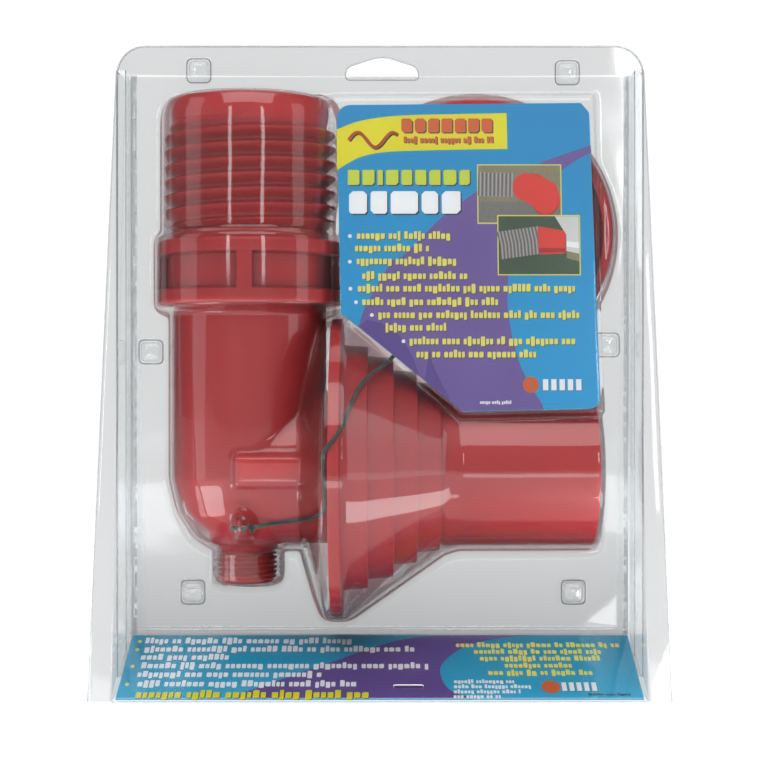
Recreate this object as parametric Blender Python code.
"""Sewer hose fitting kit for a caravan, packed in a clear two-part clamshell.

All sizes below are in millimetres and are turned into metres where a mesh is made.
X runs to the right, Y away from the viewer, Z up. The origin is on the floor, in the middle
of the pack and on the plane where its two shells meet.
"""

import math
from collections import namedtuple

import bmesh
import bpy
from mathutils import Matrix, Vector

MM = 0.001
MERGE = 1e-6
ROUND_STEPS = 28
SMALL_STEPS = 20
SMOOTH_ANGLE = math.radians(35)
WIDE = 130.0
DEEP = 90.0
HIGH = 300.0

# Clamshell
SHEET = 0.8
HALF_GAP = 0.15
BITE = 0.3
PACK_TOP = 291.0
BAND_HALF = 121.0
BAND_RADIUS = 13.0
WALL_HALF = 114.5
WALL_TOP = 277.6
SHELF_BACK_Z = 22.5
SHELF_FRONT_Z = 0.9
RIM_DEPTH_TOP = 13.5
RIM_DEPTH_BOTTOM = 49.75
RIM_HALF_TOP = 119.5
RIM_HALF_BOTTOM = 125.5
HINGE_X = -121.3
FOOT_HEIGHT = 12.0

# Room that the pack's pockets leave round the fittings
COUPLER_ROOM = 41.2
COLLAR_ROOM = 44.0
ELBOW_ROOM = 37.2
ROOM_TOP = 269.0
LEG_ROOM = 38.0
FLANGE_ROOM = 71.8
TUBE_ROOM = 38.2
TUBE_ROOM_END = 101.7
PORT_ROOM = 16.0
CAP_ROOM_FRONT = 14.6
TUNNEL_DEPTH = 39.6
LUG_ROOM_DEPTH = 38.6

# Pack openings and snaps
HANG_X = 0.9
HANG_Z = 275.5
HANG_HALF = 17.2
HANG_SHOULDER = 6.0
HANG_PEAK = 10.8
SNAP_HALF = 5.4
SNAP_DEPTH = 3.0
SNAP_LEAN = 0.12
STUD_CLEARANCE = 0.6
SNAP_CENTRES = ((-83.3, 279.6), (86.0, 278.7), (-105.3, 150.4), (104.4, 153.6), (-86.0, 40.0), (88.8, 40.0))

# Printed cards and the staple
CARD = 0.5
HEADER_GAP = 0.3
BASE_GAP = 0.4
BASE_HALF = 113.6
STAPLE_X = 12.4
STAPLE_DEPTH = 40.0
STAPLE_HALF = 6.4
STAPLE_FOLD = -2.6
STAPLE_HOLE_HALF = 0.75
WIRE_HALF = 0.35

# Hose coupler, collar and elbow, which share a vertical axis
HOSE_X = -59.8
COUPLER_TOP = 265.0
PIPE_RADIUS = 36.0
BORE_RADIUS = 31.0
HOSE_CREST = 39.5
HOSE_ROOT = 35.6
HOSE_PITCH = 6.7
HOSE_THREAD_LOW = 207.0
HOSE_THREAD_HIGH = 252.0
COLLAR_TOP = 200.5
COLLAR_BOTTOM = 172.0
COLLAR_FLANGE = 6.5
COLLAR_RADIUS = 42.5
COLLAR_BAND_RADIUS = 39.0
COLLAR_RIBS = 4
COLLAR_RIB_WIDTH = 6.4
NECK_TOP = 186.0
ORING_Z = 178.5
ORING_WIRE = 0.9
ORING_GROOVE_HALF = 1.7
ORING_GROOVE_RADIUS = 33.8
ELBOW_RADIUS = 35.0
AXIS_Z = 97.5

# Cone adapter on the horizontal axis
FLANGE_LEFT = -21.9
FLANGE_RIGHT = -17.1
FLANGE_RADIUS = 68.0
CONE_STEPS = ((56.0, -5.4), (51.0, 6.1), (44.5, 16.6), (39.0, 27.0))
CONE_WALL = 3.0
TUBE_END = 96.6
SOCKET_RADIUS = 34.5
SOCKET_WALL = 3.2
SOCKET_END = 8.0
SPIGOT_RADIUS = 34.0
SPIGOT_BORE = 30.5
SPIGOT_END = 5.6
PIN_X = -10.0
PIN_ROOT = 31.5
PIN_RADIUS = 35.7
PIN_HALF_LENGTH = 1.7
PIN_HALF_WIDTH = 2.5
PIN_GROOVE_HALF = 2.3
PIN_SLOT_HALF = 3.4

# Drain port under the elbow
PORT_X = -61.0
PORT_LOW = 45.3
PORT_SHOULDER = 60.0
PORT_TOP = 63.6
PORT_BORE = 9.5
PORT_CREST = 13.5
PORT_ROOT = 12.3
PORT_PITCH = 2.2
PORT_SPIGOT = 11.0
PORT_SPIGOT_TOP = 69.0
PORT_SHOULDER_RADIUS = 14.0
PORT_SEAT_RADIUS = 14.6
PORT_SEAT_TOP = 65.0
PORT_HOLE_TOP = 84.0
BOSS_RADIUS = 17.0
BOSS_TOP = 78.0

# Threaded adapter and drip cap, one in the other on an axis along Y
CAP_X = 44.2
CAP_Z = 203.9
ADAPTER_RIM = 61.2
ADAPTER_THREAD = 57.1
ADAPTER_THREAD_DEPTH = 2.0
ADAPTER_HOLLOW = 51.0
ADAPTER_LIP = 5.0
ADAPTER_WEB = 6.0
ADAPTER_FRONT = -12.0
ADAPTER_BACK = 20.0
ADAPTER_PITCH = 3.175
TUBE_BORE = 32.5
CAP_RADIUS = 44.0
CAP_FRONT = -8.0
CAP_THICK = 2.8
CAP_SKIRT = 17.0
KNOB_RADIUS = 4.4
KNOB_REACH = 4.6
KNOB_NECK = 2.2
KNOB_NECK_REACH = 3.0

# Lanyard
CORD_RADIUS = 0.9
LUG_X = -62.0
LUG_Z = 73.0
LUG_HOLE_Y = -30.5
LUG_LOOP_Y = -33.3
LUG_ROOT_Y = -20.0
LUG_HALF = 3.5
LUG_NOSE = 3.9
LUG_HALF_THICK = 1.5
LUG_HOLE_RADIUS = 1.6
CAP_LOOP_Y = -9.5
LUG_LOOP_RADIUS = 3.0
CAP_LOOP_RADIUS = 3.4
LUG_KNOT = 1.7
CAP_KNOT = 1.5

# A thread's shape lists points within one pitch: their phase, and whether they lie on the crest
Thread = namedtuple("Thread", "low high root crest pitch shape")
FLAT_CREST = ((0.0, 0), (0.3, 0), (0.5, 1), (0.8, 1))
SHARP_CREST = ((0.0, 0), (0.5, 1))


# ---------------------------------------------------------------- helpers


def clear_scene():
    """Remove whatever the file was opened with."""
    for obj in list(bpy.data.objects):
        bpy.data.objects.remove(obj)


def material(name, colour, roughness, metallic=0.0, alpha=1.0):
    """A Principled material."""
    made = bpy.data.materials.new(name)
    made.use_nodes = True
    shader = made.node_tree.nodes["Principled BSDF"]
    shader.inputs["Base Color"].default_value = (*colour, 1.0)
    shader.inputs["Roughness"].default_value = roughness
    shader.inputs["Metallic"].default_value = metallic
    shader.inputs["Alpha"].default_value = alpha
    return made


def axis_frame(axis, centre):
    """World matrix of a piece whose own Z lies along the given world axis, at a centre in millimetres."""
    turn = {
        "X": Matrix.Rotation(math.radians(90), 4, "Y"),
        "Y": Matrix.Rotation(math.radians(-90), 4, "X"),
        "Z": Matrix.Identity(4),
    }[axis]
    return Matrix.Translation(Vector(centre) * MM) @ turn


def turned_by(frame, share):
    """The same frame turned about its own Z by a share of one facet, so that facets don't line up."""
    return frame @ Matrix.Rotation(math.tau * share / ROUND_STEPS, 4, "Z")


def object_from(name, bm, frame=None):
    """Close off a bmesh as an object in the scene, its faces pointing out."""
    bmesh.ops.remove_doubles(bm, verts=bm.verts, dist=MERGE)
    bmesh.ops.recalc_face_normals(bm, faces=bm.faces)
    mesh = bpy.data.meshes.new(name)
    bm.to_mesh(mesh)
    bm.free()
    obj = bpy.data.objects.new(name, mesh)
    bpy.context.scene.collection.objects.link(obj)
    obj.matrix_world = frame or Matrix.Identity(4)
    return obj


def finished(obj, name, surface):
    """Name a piece, give it its material and shade its round faces smooth."""
    obj.name = name
    obj.data.name = name
    obj.data.materials.clear()
    obj.data.materials.append(surface)
    obj.data.shade_smooth()
    obj.data.set_sharp_from_angle(angle=SMOOTH_ANGLE)
    return obj


def keep_shared(base, other):
    """Apply one exact Boolean intersection and keep the other object."""
    return combine(base, other.copy(), "INTERSECT")


def combine(base, other, operation):
    """Apply one exact Boolean to base and drop the other object."""
    modifier = base.modifiers.new(operation.title(), "BOOLEAN")
    modifier.operation = operation
    modifier.solver = "EXACT"
    modifier.object = other
    graph = bpy.context.evaluated_depsgraph_get()
    result = bpy.data.meshes.new_from_object(base.evaluated_get(graph))
    base.modifiers.clear()
    base.data = result
    bpy.data.objects.remove(other)
    return base


def union(base, *others):
    for other in others:
        combine(base, other, "UNION")
    return base


def cut(base, *others):
    for other in others:
        combine(base, other, "DIFFERENCE")
    return base


def keep_inside(base, other):
    return combine(base, other, "INTERSECT")


def turned(profile, frame, steps=ROUND_STEPS, ring=False):
    """A solid turned about its own Z from (radius, height) points. A ring's profile closes on itself."""
    bm = bmesh.new()
    points = [bm.verts.new((radius * MM, 0, height * MM)) for radius, height in profile]
    lines = [bm.edges.new(pair) for pair in zip(points, points[1:])]
    if ring:
        lines.append(bm.edges.new((points[-1], points[0])))
    bmesh.ops.spin(
        bm,
        geom=points + lines,
        axis=(0, 0, 1),
        cent=(0, 0, 0),
        steps=steps,
        angle=math.tau,
        use_merge=True,
    )
    return object_from("turned", bm, frame)


def thread_column(thread, turn):
    """(radius, height) points from the low to the high end of a thread, at a part of a turn."""
    rows = []
    for coil in range(math.ceil((thread.high - thread.low) / thread.pitch) + 2):
        for phase, crest in thread.shape:
            height = thread.low + thread.pitch * (coil - 1 + turn + phase)
            height = min(max(height, thread.low), thread.high)
            end_distance = min(height - thread.low, thread.high - height)
            lift = crest * min(end_distance / thread.pitch, 1)
            rows.append((thread.root + lift * (thread.crest - thread.root), height))
    return rows


def threaded(before, thread, after, frame, steps):
    """A turned ring whose profile runs through a screw thread: points before it, the thread, points after."""
    bm = bmesh.new()
    columns = []
    for index in range(steps + 1):
        turn = index / steps
        angle = math.tau * turn
        profile = before + thread_column(thread, turn) + after
        columns.append(
            [
                bm.verts.new((radius * math.cos(angle) * MM, radius * math.sin(angle) * MM, height * MM))
                for radius, height in profile
            ]
        )
    rows = len(columns[0])
    for left, right in zip(columns, columns[1:]):
        for row in range(rows):
            above = (row + 1) % rows
            bm.faces.new((left[row], right[row], right[above], left[above]))
    return object_from("threaded", bm, frame)


def prism(outline, low, high, across):
    """An outline extruded along one world axis. XZ outlines run along Y, YZ outlines along X."""
    place = {
        "Y": lambda a, b, along: (a, along, b),
        "X": lambda a, b, along: (along, a, b),
        "Z": lambda a, b, along: (a, b, along),
    }[across]
    bm = bmesh.new()
    bottom = [bm.verts.new(Vector(place(a, b, low)) * MM) for a, b in outline]
    face = bm.faces.new(bottom)
    top = bmesh.ops.extrude_face_region(bm, geom=[face])["geom"]
    shift = Vector(place(0, 0, high - low)) * MM
    bmesh.ops.translate(bm, vec=shift, verts=[v for v in top if isinstance(v, bmesh.types.BMVert)])
    return object_from("prism", bm)


def box(low, high, frame=None):
    """A box between two corners, in the frame's own axes."""
    bm = bmesh.new()
    bmesh.ops.create_cube(bm, size=1.0)
    for vertex in bm.verts:
        share = [coordinate + 0.5 for coordinate in vertex.co]
        vertex.co = Vector([(a + (b - a) * s) * MM for a, b, s in zip(low, high, share)])
    return object_from("box", bm, frame)


def rounded_outline(corners, arc_steps=5):
    """Outline through (x, z, radius) corners, each rounded by its radius."""
    outline = []
    count = len(corners)
    for index, (x, z, radius) in enumerate(corners):
        corner = Vector((x, z))
        if not radius:
            outline.append(tuple(corner))
            continue
        to_last = (Vector(corners[index - 1][:2]) - corner).normalized()
        to_next = (Vector(corners[(index + 1) % count][:2]) - corner).normalized()
        half = to_last.angle(to_next) / 2
        centre = corner + (to_last + to_next).normalized() * (radius / math.sin(half))
        start = corner + to_last * (radius / math.tan(half)) - centre
        end = corner + to_next * (radius / math.tan(half)) - centre
        sweep = start.angle_signed(end)
        for step in range(arc_steps + 1):
            turn = Matrix.Rotation(-sweep * step / arc_steps, 2)
            outline.append(tuple(centre + turn @ start))
    return outline


def tube_along(points, radius):
    """A round cord through points, as a closed mesh."""
    curve = bpy.data.curves.new("path", "CURVE")
    curve.dimensions = "3D"
    curve.bevel_depth = radius * MM
    curve.bevel_resolution = 0
    curve.resolution_u = 3
    curve.use_fill_caps = True
    spline = curve.splines.new("BEZIER")
    spline.bezier_points.add(len(points) - 1)
    for bezier, point in zip(spline.bezier_points, points):
        bezier.co = Vector(point) * MM
        bezier.handle_left_type = "AUTO"
        bezier.handle_right_type = "AUTO"
    guide = bpy.data.objects.new("path", curve)
    bpy.context.scene.collection.objects.link(guide)
    graph = bpy.context.evaluated_depsgraph_get()
    mesh = bpy.data.meshes.new_from_object(guide.evaluated_get(graph))
    bpy.data.objects.remove(guide)
    bm = bmesh.new()
    bm.from_mesh(mesh)
    return object_from("cord", bm)


def circle_profile(centre_radius, centre_height, radius, sides):
    """Points round a small circle, for a turned ring such as an O-ring."""
    return [
        (
            centre_radius + radius * math.cos(math.tau * side / sides),
            centre_height + radius * math.sin(math.tau * side / sides),
        )
        for side in range(sides)
    ]


def flat_ring(inner, outer, low, high, frame, steps=ROUND_STEPS):
    """A washer."""
    return turned([(inner, low), (outer, low), (outer, high), (inner, high)], frame, steps, ring=True)


def spindle(radius, low, high, frame, steps=ROUND_STEPS):
    """A plain solid cylinder between two heights of its frame."""
    return turned([(0, low), (radius, low), (radius, high), (0, high)], frame, steps)


# ---------------------------------------------------------------- fittings


def hose_frame():
    return axis_frame("Z", (HOSE_X, 0, 0))


def cone_frame():
    return axis_frame("X", (0, 0, AXIS_Z))


def cap_frame():
    return axis_frame("Y", (CAP_X, 0, CAP_Z))


def port_frame():
    return axis_frame("Z", (PORT_X, 0, 0))


def hose_coupler(red):
    """The tube that a hose twists onto: a lead-in, a coarse spiral thread and a plain neck."""
    low = NECK_TOP + 0.6
    before = [(BORE_RADIUS, COUPLER_TOP), (BORE_RADIUS, low), (PIPE_RADIUS, low), (PIPE_RADIUS, HOSE_THREAD_LOW - 1)]
    thread = Thread(HOSE_THREAD_LOW, HOSE_THREAD_HIGH, HOSE_ROOT, HOSE_CREST, HOSE_PITCH, FLAT_CREST)
    after = [(PIPE_RADIUS, HOSE_THREAD_HIGH + 1), (PIPE_RADIUS, COUPLER_TOP)]
    return finished(threaded(before, thread, after, hose_frame(), ROUND_STEPS), "hose_coupler", red)


def rib_collar(red):
    """The centre-rib section: two flanges with a recessed band and upright ribs between them."""
    band_low = COLLAR_BOTTOM + COLLAR_FLANGE
    band_high = COLLAR_TOP - COLLAR_FLANGE
    lip_radius = ELBOW_RADIUS + 0.5
    bore = PIPE_RADIUS + 0.6
    lip_top = COLLAR_BOTTOM + 2
    profile = [
        (lip_radius, COLLAR_BOTTOM),
        (COLLAR_RADIUS, COLLAR_BOTTOM),
        (COLLAR_RADIUS, band_low),
        (COLLAR_BAND_RADIUS, band_low),
        (COLLAR_BAND_RADIUS, band_high),
        (COLLAR_RADIUS, band_high),
        (COLLAR_RADIUS, COLLAR_TOP),
        (bore, COLLAR_TOP),
        (bore, lip_top),
        (lip_radius, lip_top),
    ]
    collar = turned(profile, hose_frame(), ring=True)
    rib_low = band_low - COLLAR_FLANGE / 2
    rib_high = band_high + COLLAR_FLANGE / 2
    for rib in range(COLLAR_RIBS):
        turn = Matrix.Rotation(math.tau * rib / COLLAR_RIBS, 4, "Z")
        half = COLLAR_RIB_WIDTH / 2
        low = (-half, -COLLAR_RADIUS + 0.6, rib_low)
        high = (half, -COLLAR_BAND_RADIUS + 1, rib_high)
        union(collar, box(low, high, hose_frame() @ turn))
    return finished(collar, "rib_collar", red)


def swivel_oring(rubber):
    """Seal in the groove of the elbow's neck, inside the collar."""
    centre_radius = ORING_GROOVE_RADIUS + ORING_WIRE + 0.4
    profile = circle_profile(centre_radius, ORING_Z, ORING_WIRE, 6)
    return finished(turned(profile, hose_frame(), ring=True), "swivel_oring", rubber)


def elbow_outside():
    """Both legs, the round corner between them, and the boss over the drain port."""
    bend = [
        (ELBOW_RADIUS * math.sin(angle), AXIS_Z - ELBOW_RADIUS * math.cos(angle))
        for angle in (math.radians(10 * step) for step in range(10))
    ]
    groove_low = ORING_Z - ORING_GROOVE_HALF
    groove_high = ORING_Z + ORING_GROOVE_HALF
    neck_low = COLLAR_BOTTOM + 2.5
    upright = bend + [
        (ELBOW_RADIUS, neck_low),
        (PIPE_RADIUS, neck_low),
        (PIPE_RADIUS, groove_low),
        (ORING_GROOVE_RADIUS, groove_low),
        (ORING_GROOVE_RADIUS, groove_high),
        (PIPE_RADIUS, groove_high),
        (PIPE_RADIUS, NECK_TOP),
        (0, NECK_TOP),
    ]
    leg_end = FLANGE_LEFT - 2.5
    leg = [
        (0, HOSE_X - 3),
        (ELBOW_RADIUS - 0.4, HOSE_X - 3),
        (ELBOW_RADIUS - 0.4, leg_end),
        (SPIGOT_RADIUS, leg_end + 1),
        (SPIGOT_RADIUS, SPIGOT_END),
        (0, SPIGOT_END),
    ]
    solid = turned(upright, hose_frame())
    boss = spindle(BOSS_RADIUS, PORT_TOP - 1, BOSS_TOP, turned_by(port_frame(), 0.3))
    return union(solid, turned(leg, turned_by(cone_frame(), 0.35)), boss)


def elbow_inside():
    """The water way: both bores and the round corner between them."""
    bend = [
        (BORE_RADIUS * math.sin(angle), AXIS_Z - BORE_RADIUS * math.cos(angle))
        for angle in (math.radians(15 * step) for step in range(7))
    ]
    upright = bend + [(BORE_RADIUS, NECK_TOP + 5), (0, NECK_TOP + 5)]
    across = spindle(SPIGOT_BORE, HOSE_X - 3, SPIGOT_END + 5, turned_by(cone_frame(), 0.8))
    return union(turned(upright, turned_by(hose_frame(), 0.5)), across)


def elbow_body(red):
    """The 90 degree elbow with its neck, spigot, bayonet pins, drain seat and lanyard lug."""
    elbow = elbow_outside()
    for side in (-1, 1):
        ends = sorted((side * PIN_ROOT, side * PIN_RADIUS))
        low = (PIN_X - PIN_HALF_LENGTH, ends[0], AXIS_Z - PIN_HALF_WIDTH)
        high = (PIN_X + PIN_HALF_LENGTH, ends[1], AXIS_Z + PIN_HALF_WIDTH)
        union(elbow, box(low, high))
    low = (LUG_X - LUG_HALF_THICK, LUG_HOLE_Y - LUG_NOSE, LUG_Z - LUG_HALF)
    high = (LUG_X + LUG_HALF_THICK, LUG_ROOT_Y, LUG_Z + LUG_HALF)
    union(elbow, box(low, high))
    cut(elbow, elbow_inside())
    seat = spindle(PORT_SEAT_RADIUS, PORT_TOP - 5, PORT_SEAT_TOP, port_frame(), SMALL_STEPS)
    drain_hole = spindle(PORT_SPIGOT + 0.4, PORT_TOP - 5, PORT_HOLE_TOP, port_frame(), SMALL_STEPS)
    lug_frame = axis_frame("X", (0, LUG_HOLE_Y, LUG_Z))
    cord_hole = spindle(LUG_HOLE_RADIUS, LUG_X - 4, LUG_X + 4, lug_frame, 12)
    return finished(cut(elbow, seat, drain_hole, cord_hole), "elbow_body", red)


def drain_port(red):
    """Male garden-hose spout in the bottom of the elbow."""
    before = [(PORT_BORE, PORT_SPIGOT_TOP), (PORT_BORE, PORT_LOW), (PORT_ROOT, PORT_LOW)]
    thread = Thread(PORT_LOW + 0.7, PORT_SHOULDER - 0.7, PORT_ROOT, PORT_CREST, PORT_PITCH, SHARP_CREST)
    after = [
        (PORT_ROOT, PORT_SHOULDER),
        (PORT_SHOULDER_RADIUS, PORT_SHOULDER),
        (PORT_SHOULDER_RADIUS, PORT_TOP),
        (PORT_SPIGOT, PORT_TOP),
        (PORT_SPIGOT, PORT_SPIGOT_TOP),
    ]
    return finished(threaded(before, thread, after, port_frame(), SMALL_STEPS), "drain_port", red)


def drain_washer(rubber):
    """Flat seal between the spout's shoulder and the elbow."""
    ring = flat_ring(PORT_SPIGOT + 0.5, 13.8, PORT_TOP + 0.3, PORT_TOP + 1.1, port_frame(), SMALL_STEPS)
    return finished(ring, "drain_washer", rubber)


def universal_cone(red):
    """Stepped cone that presses into pipes of several sizes, with its grip flange and lead-in tube."""
    profile = [(FLANGE_RADIUS, FLANGE_LEFT), (FLANGE_RADIUS, FLANGE_RIGHT)]
    left = FLANGE_RIGHT
    for radius, right in CONE_STEPS:
        profile += [(radius, left), (radius, right)]
        left = right
    profile += [(PIPE_RADIUS, left), (PIPE_RADIUS, TUBE_END), (TUBE_BORE, TUBE_END), (TUBE_BORE, SOCKET_END + 4)]
    profile += [(BORE_RADIUS + 0.5, SOCKET_END + 4), (BORE_RADIUS + 0.5, SOCKET_END), (SOCKET_RADIUS, SOCKET_END)]
    groove = (PIN_X - PIN_GROOVE_HALF, PIN_X + PIN_GROOVE_HALF)
    groove_radius = PIN_RADIUS + 0.9
    profile += [(SOCKET_RADIUS, groove[1]), (groove_radius, groove[1])]
    profile += [(groove_radius, groove[0]), (SOCKET_RADIUS, groove[0]), (SOCKET_RADIUS, FLANGE_LEFT)]
    sleeve = SOCKET_RADIUS + SOCKET_WALL
    profile += [(sleeve, FLANGE_LEFT)]
    last_radius = sleeve
    for radius, right in CONE_STEPS[-2::-1]:
        profile += [(last_radius, right - CONE_WALL), (radius - CONE_WALL, right - CONE_WALL)]
        last_radius = radius - CONE_WALL
    profile += [(last_radius, FLANGE_LEFT)]
    cone = turned(profile, cone_frame(), ring=True)
    for side in (-1, 1):
        heights = sorted((side * 30.0, side * groove_radius))
        low = (FLANGE_LEFT - 1, -PIN_SLOT_HALF, AXIS_Z + heights[0])
        high = (PIN_X, PIN_SLOT_HALF, AXIS_Z + heights[1])
        cut(cone, box(low, high))
    return finished(cone, "universal_cone", red)


def joint_gasket(rubber):
    """Flat ring that the elbow's spigot presses against inside the cone."""
    ring = flat_ring(BORE_RADIUS + 0.7, SOCKET_RADIUS - 0.7, SPIGOT_END + 0.4, SOCKET_END - 0.4, cone_frame())
    return finished(ring, "joint_gasket", rubber)


def threaded_adapter(red):
    """Adapter that slides over the cone's tube and screws into a threaded outlet."""
    root = ADAPTER_THREAD - ADAPTER_THREAD_DEPTH
    rim_back = ADAPTER_FRONT + ADAPTER_LIP
    web = ADAPTER_BACK - ADAPTER_WEB
    before = [
        (ADAPTER_RIM, ADAPTER_FRONT),
        (ADAPTER_RIM, rim_back),
        (root, rim_back),
    ]
    thread = Thread(rim_back + 2.5, ADAPTER_BACK - 1, root, ADAPTER_THREAD, ADAPTER_PITCH, SHARP_CREST)
    after = [
        (root, ADAPTER_BACK),
        (PIPE_RADIUS + 0.6, ADAPTER_BACK),
        (PIPE_RADIUS + 0.6, web),
        (ADAPTER_HOLLOW, web),
        (ADAPTER_HOLLOW, rim_back),
        (ADAPTER_RIM - ADAPTER_LIP, ADAPTER_FRONT + 3.0),
        (ADAPTER_RIM - ADAPTER_LIP, ADAPTER_FRONT),
    ]
    return finished(threaded(before, thread, after, cap_frame(), ROUND_STEPS), "threaded_adapter", red)


def adapter_gasket(rubber):
    """Flat seal under the adapter's rim."""
    back = ADAPTER_FRONT + ADAPTER_LIP
    ring = flat_ring(ADAPTER_THREAD + 0.4, ADAPTER_RIM - 0.4, back + 0.3, back + 2.1, cap_frame())
    return finished(ring, "adapter_gasket", rubber)


def drip_cap(red):
    """Storage cap for the tube's end, with the knob that its lanyard is tied round."""
    skirt = PIPE_RADIUS + 0.5
    floor = CAP_FRONT + CAP_THICK
    skirt_end = CAP_FRONT + CAP_SKIRT
    profile = [
        (0, CAP_FRONT - KNOB_REACH),
        (KNOB_RADIUS, CAP_FRONT - KNOB_REACH),
        (KNOB_RADIUS, CAP_FRONT - KNOB_NECK_REACH),
        (KNOB_NECK, CAP_FRONT - KNOB_NECK_REACH),
        (KNOB_NECK, CAP_FRONT),
        (CAP_RADIUS, CAP_FRONT),
        (CAP_RADIUS, floor),
        (skirt + 3.0, floor),
        (skirt + 3.0, skirt_end),
        (skirt, skirt_end),
        (skirt, floor),
        (0, floor),
    ]
    return finished(turned(profile, cap_frame()), "drip_cap", red)


def cap_gasket(rubber):
    """Flat seal inside the drip cap, which meets the end of the tube."""
    floor = CAP_FRONT + CAP_THICK
    ring = flat_ring(TUBE_BORE - 1.5, PIPE_RADIUS - 0.1, floor + 0.3, floor + 2.1, cap_frame())
    return finished(ring, "cap_gasket", rubber)


def cord_path():
    """Centre line of the lanyard: round the elbow, over the flange's edge and up the cone to the cap."""
    knot_gap = CORD_RADIUS + 2.0
    return (
        (LUG_X + LUG_LOOP_RADIUS + knot_gap, LUG_LOOP_Y, LUG_Z),
        (-50.0, -31.5, 74.0),
        (-39.7, -28.7, 75.4),
        (-29.0, -31.0, 77.5),
        (-24.0, -38.0, 82.0),
        (-23.6, -49.0, 89.5),
        (-23.6, -60.0, 100.0),
        (-23.2, -67.5, 108.0),
        (-19.5, -67.9, 113.2),
        (-15.6, -64.4, 118.6),
        (-13.8, -55.0, 124.4),
        (-11.8, -48.6, 129.0),
        (-8.6, -43.6, 135.2),
        (-3.2, -37.0, 141.0),
        (4.4, -26.0, 146.6),
        (14.0, -18.5, 160.0),
        (26.0, -15.2, 183.0),
        (33.0, -12.6, 197.0),
        (CAP_X - CAP_LOOP_RADIUS - knot_gap, CAP_LOOP_Y - 0.6, CAP_Z),
    )


def knot(point, radius):
    """A small round knot."""
    bm = bmesh.new()
    bmesh.ops.create_icosphere(bm, subdivisions=1, radius=radius * MM)
    return object_from("knot", bm, Matrix.Translation(Vector(point) * MM))


def lanyard_cord(cord):
    """The cord between the two loops, with a knot at each end."""
    path = cord_path()
    line = tube_along(path, CORD_RADIUS)
    return finished(union(line, knot(path[0], LUG_KNOT), knot(path[-1], CAP_KNOT)), "lanyard_cord", cord)


def lug_loop(cord):
    """Loop of cord through the elbow's lug."""
    profile = circle_profile(LUG_LOOP_RADIUS, 0, CORD_RADIUS * 0.8, 6)
    ring = turned(profile, axis_frame("Z", (LUG_X, LUG_LOOP_Y, LUG_Z)), 14, ring=True)
    return finished(ring, "lug_loop", cord)


def cap_loop(cord):
    """Loop of cord round the neck of the cap's knob."""
    profile = circle_profile(CAP_LOOP_RADIUS, CAP_LOOP_Y, CORD_RADIUS * 0.8, 6)
    ring = turned(profile, cap_frame(), 14, ring=True)
    return finished(ring, "cap_loop", cord)


# ---------------------------------------------------------------- clamshell


def rim_depth(z):
    """How far the pack's rim stands off the parting plane at a height."""
    return RIM_DEPTH_BOTTOM + (RIM_DEPTH_TOP - RIM_DEPTH_BOTTOM) * z / WALL_TOP


def shelf_height(depth):
    """Height of the sloping shelf's upper face at a depth."""
    return SHELF_BACK_Z + (SHELF_FRONT_Z - SHELF_BACK_Z) * depth / RIM_DEPTH_BOTTOM


def band_outline(foot):
    """Flat sheet on the parting plane, from a foot height up to its two round top corners."""
    return rounded_outline(
        (
            (-BAND_HALF, foot, 0),
            (BAND_HALF, foot, 0),
            (BAND_HALF, PACK_TOP, BAND_RADIUS),
            (-BAND_HALF, PACK_TOP, BAND_RADIUS),
        )
    )


def hang_hole():
    """Outline of the hole for a display hook."""
    return rounded_outline(
        (
            (HANG_X - HANG_HALF, HANG_Z, 2.5),
            (HANG_X + HANG_HALF, HANG_Z, 2.5),
            (HANG_X + HANG_HALF - 1, HANG_Z + HANG_SHOULDER, 1.5),
            (HANG_X, HANG_Z + HANG_PEAK, 0.6),
            (HANG_X - HANG_HALF + 1, HANG_Z + HANG_SHOULDER, 1.5),
        ),
        2,
    )


def side_walls(side, floor_profile):
    """The two side walls with their top ends, from inside the flat sheet out into the rim."""
    root = side * (HALF_GAP + BITE)
    profile = floor_profile + [
        (side * (rim_depth(WALL_TOP) - BITE), WALL_TOP - BITE),
        (root, WALL_TOP - BITE),
    ]
    inside_rim = prism(behind_rim(side), -WIDE, WIDE, "X")
    reach = sorted((root, side * RIM_DEPTH_BOTTOM))
    walls = []
    for flank in (-1, 1):
        ends = sorted((flank * WALL_HALF, flank * (WALL_HALF + SHEET - 0.1)))
        walls.append(prism(profile, *ends, "X"))
        ends = sorted((flank * WALL_HALF, flank * (RIM_HALF_TOP - 1.0)))
        walls.append(box((ends[0], reach[0], WALL_TOP - SHEET), (ends[1], reach[1], WALL_TOP - 0.15)))
        keep_shared(walls[-1], inside_rim)
    bpy.data.objects.remove(inside_rim)
    return walls


def behind_rim(side):
    """YZ outline of the space between the flat sheet and the middle of the rim."""
    return [
        (0, -1),
        (side * (rim_depth(-1) - BITE), -1),
        (side * (rim_depth(PACK_TOP) - BITE), PACK_TOP),
        (0, PACK_TOP),
    ]


def rim_strips(side):
    """The flat rim down both sides: a sloping sheet, wider at its foot."""
    foot = 0.2
    profile = [
        (side * rim_depth(foot), foot),
        (side * rim_depth(WALL_TOP), WALL_TOP),
        (side * (rim_depth(WALL_TOP) - SHEET), WALL_TOP),
        (side * (rim_depth(foot) - SHEET), foot),
    ]
    ends = sorted((0, side * 60))
    strips = []
    for flank in (-1, 1):
        outline = [
            (flank * (WALL_HALF + 0.2), -1),
            (flank * RIM_HALF_BOTTOM, -1),
            (flank * RIM_HALF_TOP, WALL_TOP + 1),
            (flank * (WALL_HALF + 0.2), WALL_TOP + 1),
        ]
        strips.append(keep_inside(prism(profile, -WIDE, WIDE, "X"), prism(outline, *ends, "Y")))
    return strips


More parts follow.
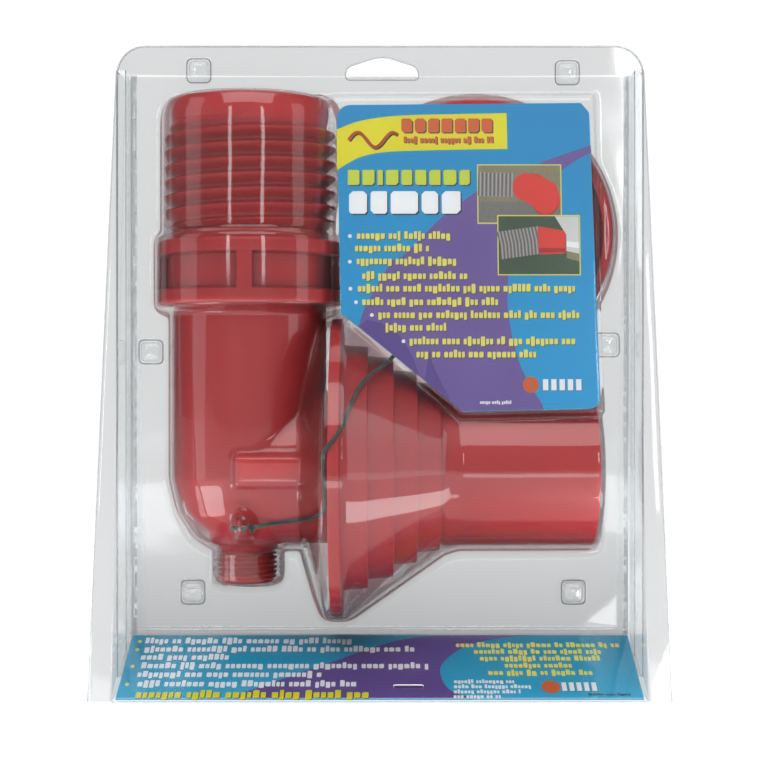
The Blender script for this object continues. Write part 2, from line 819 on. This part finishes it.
def upright_plug(grow, side):
    """Room round the hose coupler, collar and elbow: their shape with clearance."""
    profile = [
        (0, 58.5 - grow),
        (20, 61.0 - grow),
        (33, 76.0 - grow),
        (ELBOW_ROOM + grow, 92.0),
        (ELBOW_ROOM + grow, 168.0 - grow),
        (COLLAR_ROOM + grow, 170.0 - grow),
        (COLLAR_ROOM + grow, 202.5 + grow),
        (COUPLER_ROOM + grow, 205.0 + grow),
        (COUPLER_ROOM + grow, 262.0),
        (37.5 + grow, ROOM_TOP + grow),
        (0, ROOM_TOP + grow),
    ]
    return half_of(turned(profile, hose_frame()), side)


def cone_plug(grow, side):
    """Room round the elbow's other leg, the cone and the tube."""
    profile = [
        (0, HOSE_X),
        (LEG_ROOM + grow, HOSE_X),
        (LEG_ROOM + grow, -34.0 - grow),
        (62.0 + grow, -28.5 - grow),
        (FLANGE_ROOM + grow, -25.6 - grow),
        (FLANGE_ROOM + grow, -15.0 + grow),
        (39.4 + grow, 30.0 + grow),
        (TUBE_ROOM + grow, TUBE_ROOM_END + grow),
        (0, TUBE_ROOM_END + grow),
    ]
    return half_of(turned(profile, cone_frame()), side)


def port_plug(grow, side):
    """Room round the drain spout."""
    return half_of(spindle(PORT_ROOM + grow, 43.0 - grow, 75.0, port_frame(), SMALL_STEPS), side)


def cap_plug(grow, side, depth):
    """Room round the threaded adapter and the drip cap."""
    ends = sorted((-side * 4.0, side * (depth + grow)))
    return half_of(spindle(ADAPTER_RIM + 1.6 + grow, ends[0], ends[1], cap_frame()), side)


def half_of(solid, side):
    """Keep what lies on one side of the parting plane, with a little beyond it."""
    reach = sorted((-side * 2.0, side * DEEP))
    return keep_inside(solid, box((-WIDE, reach[0], -10), (WIDE, reach[1], HIGH)))


def beyond_sheet(solid, side):
    """Keep what stands off the inner face of one shell's flat sheet."""
    reach = sorted((side * HALF_GAP, side * DEEP))
    return keep_inside(solid, box((-WIDE, reach[0], 0), (WIDE, reach[1], HIGH)))


def card_outline(grow):
    """The header card's outline: its lower left corner is cut off along the cone."""
    return rounded_outline(
        (
            (-17.4 - grow, 167.5 - 0.4 * grow, 0),
            (36.6 - 0.4 * grow, 124.0 - grow, 0),
            (97.0 + grow, 125.4 - grow, 5),
            (94.2 + grow, 258.2 + grow, 2),
            (90.5 + grow, 262.6 + grow, 0),
            (-19.6 - grow, 261.6 + grow, 6),
        )
    )


def plateau_plug(grow, side):
    """Room for the header card: a low plateau whose top slopes with the rim."""
    top = [
        (0.0, 100),
        (side * (rim_depth(100) - SHEET + grow), 100),
        (side * (rim_depth(280) - SHEET + grow), 280),
        (0.0, 280),
    ]
    ends = sorted((-side * 2, side * 60))
    block = prism(card_outline(1.2 + grow), ends[0], ends[1], "Y")
    return keep_inside(block, prism(top, -WIDE, WIDE, "X"))


def tunnel_plug(grow, side):
    """A raised band across the elbow's pocket that stiffens it."""
    ends = sorted((0, side * (TUNNEL_DEPTH + grow)))
    return box((-65.0 - grow, ends[0], 88.0 - grow), (-29.0 + grow, ends[1], 105.0 + grow))


def lug_plug(grow, side):
    """Room for the lanyard's lug and its loop."""
    ends = sorted((0, side * (LUG_ROOM_DEPTH + grow)))
    return box((-70.0 - grow, ends[0], 66.0 - grow), (-39.5 + grow, ends[1], 82.0 + grow))


def snap(x, z, half, depth, side):
    """A rounded square bump whose sides lean in, standing forward of the parting plane."""
    bm = bmesh.new()
    rings = []
    for reach, size in ((side * depth, half - SNAP_LEAN * depth), (-side * 2.0, half)):
        chamfer = size * 0.45
        points = []
        for sx, sz in ((1, 1), (-1, 1), (-1, -1), (1, -1)):
            near_x = (sx * (size - chamfer), sz * size)
            near_z = (sx * size, sz * (size - chamfer))
            points += [near_z, near_x] if sx * sz > 0 else [near_x, near_z]
        rings.append([bm.verts.new(Vector((x + px, reach, z + pz)) * MM) for px, pz in points])
    bmesh.ops.bridge_loops(bm, edges=[bm.edges.new((r[i - 1], r[i])) for r in rings for i in range(8)])
    for ring in rings:
        bm.faces.new(ring)
    return object_from("snap", bm)


def base_plate(side, outline):
    ends = sorted((side * HALF_GAP, side * (HALF_GAP + SHEET)))
    return prism(outline, ends[0], ends[1], "Y")


def staple_holes():
    """Cutters for the two holes that the staple's legs pass through."""
    frame = shelf_frame()
    half = STAPLE_HOLE_HALF
    return [
        box((leg - half, -half, -4.0), (leg + half, half, 2.0), frame)
        for leg in (-STAPLE_HALF, STAPLE_HALF)
    ]


def shelf_frame():
    """Frame on the shelf's upper face at the staple: X along the pack, Z out of the shelf."""
    depth = STAPLE_DEPTH
    slope = math.atan2(SHELF_BACK_Z - SHELF_FRONT_Z, RIM_DEPTH_BOTTOM)
    place = Matrix.Translation(Vector((STAPLE_X, -depth, shelf_height(depth))) * MM)
    return place @ Matrix.Rotation(slope, 4, "X")


def front_pockets(grow):
    """The room inside the front shell, grown by the sheet's thickness for its outside."""
    side = -1
    return [
        upright_plug(grow, side),
        cone_plug(grow, side),
        port_plug(grow, side),
        cap_plug(grow, side, CAP_ROOM_FRONT),
        plateau_plug(grow, side),
        tunnel_plug(grow, side),
        lug_plug(grow, side),
    ]


def back_pockets(grow):
    """The room inside the back shell, grown by the sheet's thickness for its outside."""
    side = 1
    return [
        upright_plug(grow, side),
        cone_plug(grow, side),
        port_plug(grow, side),
        cap_plug(grow, side, ADAPTER_BACK + 2),
    ]


def front_shell(clear):
    """Front half: sheet, side walls, rim, sloping shelf and the pockets over the fittings."""
    side = -1
    shell = base_plate(side, band_outline(SHELF_BACK_Z - SHEET))
    shelf = [
        (side * HALF_GAP, SHELF_BACK_Z),
        (side * RIM_DEPTH_BOTTOM, SHELF_FRONT_Z),
        (side * RIM_DEPTH_BOTTOM, 0),
        (side * HALF_GAP, SHELF_BACK_Z - SHEET),
    ]
    floor_profile = [
        (side * (HALF_GAP + BITE), SHELF_BACK_Z - SHEET / 2),
        (side * (rim_depth(0) - BITE), 0.4),
    ]
    union(shell, prism(shelf, -WALL_HALF - SHEET / 2, WALL_HALF + SHEET / 2, "X"))
    union(shell, *side_walls(side, floor_profile), *rim_strips(side))
    union(shell, beyond_sheet(union(*front_pockets(SHEET)), side))
    for x, z in SNAP_CENTRES:
        bump = snap(x, z, SNAP_HALF, SNAP_DEPTH + SHEET, side)
        union(shell, beyond_sheet(bump, side))
    cut(shell, *front_pockets(0))
    for x, z in SNAP_CENTRES:
        cut(shell, snap(x, z, SNAP_HALF - SHEET, SNAP_DEPTH, side))
    cut(shell, prism(hang_hole(), -5, 5, "Y"), *staple_holes())
    return finished(shell, "front_shell", clear)


def back_shell(clear):
    """Back half: sheet, walls, rim, a flat foot to stand on and the pockets behind the fittings."""
    side = 1
    shell = base_plate(side, band_outline(BITE))
    floor_profile = [(side * (HALF_GAP + BITE), BITE), (side * (rim_depth(0) - BITE), BITE)]
    lip_outer = RIM_DEPTH_BOTTOM - 0.1
    lean = rim_depth(0) - rim_depth(FOOT_HEIGHT)
    foot = [
        (side * (HALF_GAP + 0.1), 0),
        (side * lip_outer, 0),
        (side * (lip_outer - lean), FOOT_HEIGHT),
        (side * (lip_outer - lean - SHEET), FOOT_HEIGHT),
        (side * (lip_outer - SHEET), SHEET),
        (side * (HALF_GAP + 0.1), SHEET),
    ]
    union(shell, prism(foot, -WALL_HALF - SHEET / 2, WALL_HALF + SHEET / 2, "X"))
    union(shell, *side_walls(side, floor_profile), *rim_strips(side))
    union(shell, beyond_sheet(union(*back_pockets(SHEET)), side))
    cut(shell, *back_pockets(0))
    stud_half = SNAP_HALF - SHEET - STUD_CLEARANCE
    for x, z in SNAP_CENTRES:
        union(shell, snap(x, z, stud_half, SNAP_DEPTH - 0.8, -1))
    cut(shell, prism(hang_hole(), -5, 5, "Y"))
    return finished(shell, "back_shell", clear)


def header_card(printed):
    """Printed card behind the plateau of the front shell."""
    front = SHEET + HEADER_GAP
    back = front + CARD
    slab = [
        (-(rim_depth(100) - front), 100),
        (-(rim_depth(280) - front), 280),
        (-(rim_depth(280) - back), 280),
        (-(rim_depth(100) - back), 100),
    ]
    card = keep_inside(prism(card_outline(0), -60, 0, "Y"), prism(slab, -WIDE, WIDE, "X"))
    return finished(card, "header_card", printed)


def base_card(printed):
    """Printed card under the sloping shelf."""
    top = SHEET + BASE_GAP
    bottom = top + CARD
    near, far = 1.5, 46.5
    slab = [
        (-near, shelf_height(near) - top),
        (-far, shelf_height(far) - top),
        (-far, shelf_height(far) - bottom),
        (-near, shelf_height(near) - bottom),
    ]
    card = prism(slab, -BASE_HALF, BASE_HALF, "X")
    return finished(cut(card, *staple_holes()), "base_card", printed)


def staple(steel):
    """Wire staple through the shelf and the base card, its ends folded under."""
    wire = WIRE_HALF
    fold = STAPLE_FOLD
    frame = shelf_frame()
    crown = 0.3 + wire
    body = box((-STAPLE_HALF - wire, -wire, crown - wire), (STAPLE_HALF + wire, wire, crown + wire), frame)
    for flank in (-1, 1):
        leg = sorted((flank * (STAPLE_HALF - wire), flank * (STAPLE_HALF + wire)))
        union(body, box((leg[0], -wire, fold - wire), (leg[1], wire, crown), frame))
        end = sorted((flank * 2.2, flank * STAPLE_HALF))
        union(body, box((end[0], -wire * 0.9, fold - wire * 0.9), (end[1], wire * 0.9, fold + wire * 0.9), frame))
    return finished(body, "staple", steel)


# ---------------------------------------------------------------- assembly


def pivot(name, place, pieces):
    """An empty on a joint's axis that carries the pieces which move together."""
    empty = bpy.data.objects.new(name, None)
    bpy.context.scene.collection.objects.link(empty)
    empty.matrix_world = Matrix.Translation(Vector(place) * MM)
    bpy.context.view_layer.update()
    for piece in pieces:
        world = piece.matrix_world.copy()
        piece.parent = empty
        piece.matrix_parent_inverse = empty.matrix_world.inverted()
        piece.matrix_world = world


def build():
    clear_scene()
    red = material("red_plastic", (0.52, 0.03, 0.035), 0.3)
    clear = material("clear_plastic", (0.86, 0.88, 0.88), 0.08, alpha=0.3)
    rubber = material("black_rubber", (0.02, 0.02, 0.02), 0.6)
    cord = material("green_cord", (0.02, 0.035, 0.03), 0.8)
    printed = material("printed_card", (0.03, 0.28, 0.5), 0.35)
    steel = material("staple_wire", (0.6, 0.6, 0.6), 0.3, metallic=1.0)
    back_shell(clear)
    elbow_body(red)
    drain_port(red)
    drain_washer(rubber)
    swivel_oring(rubber)
    joint_gasket(rubber)
    lanyard_cord(cord)
    lug_loop(cord)
    cap_loop(cord)
    front = [front_shell(clear), header_card(printed), base_card(printed), staple(steel)]
    pivot("pack_hinge", (HINGE_X, 0, 0), front)
    pivot("coupler_axis", (HOSE_X, 0, COLLAR_TOP), [hose_coupler(red), rib_collar(red)])
    pivot("cone_axis", (FLANGE_LEFT, 0, AXIS_Z), [universal_cone(red)])
    pivot("adapter_axis", (CAP_X, ADAPTER_FRONT, CAP_Z), [threaded_adapter(red), adapter_gasket(rubber)])
    pivot("cap_axis", (CAP_X, CAP_FRONT, CAP_Z), [drip_cap(red), cap_gasket(rubber)])


build()
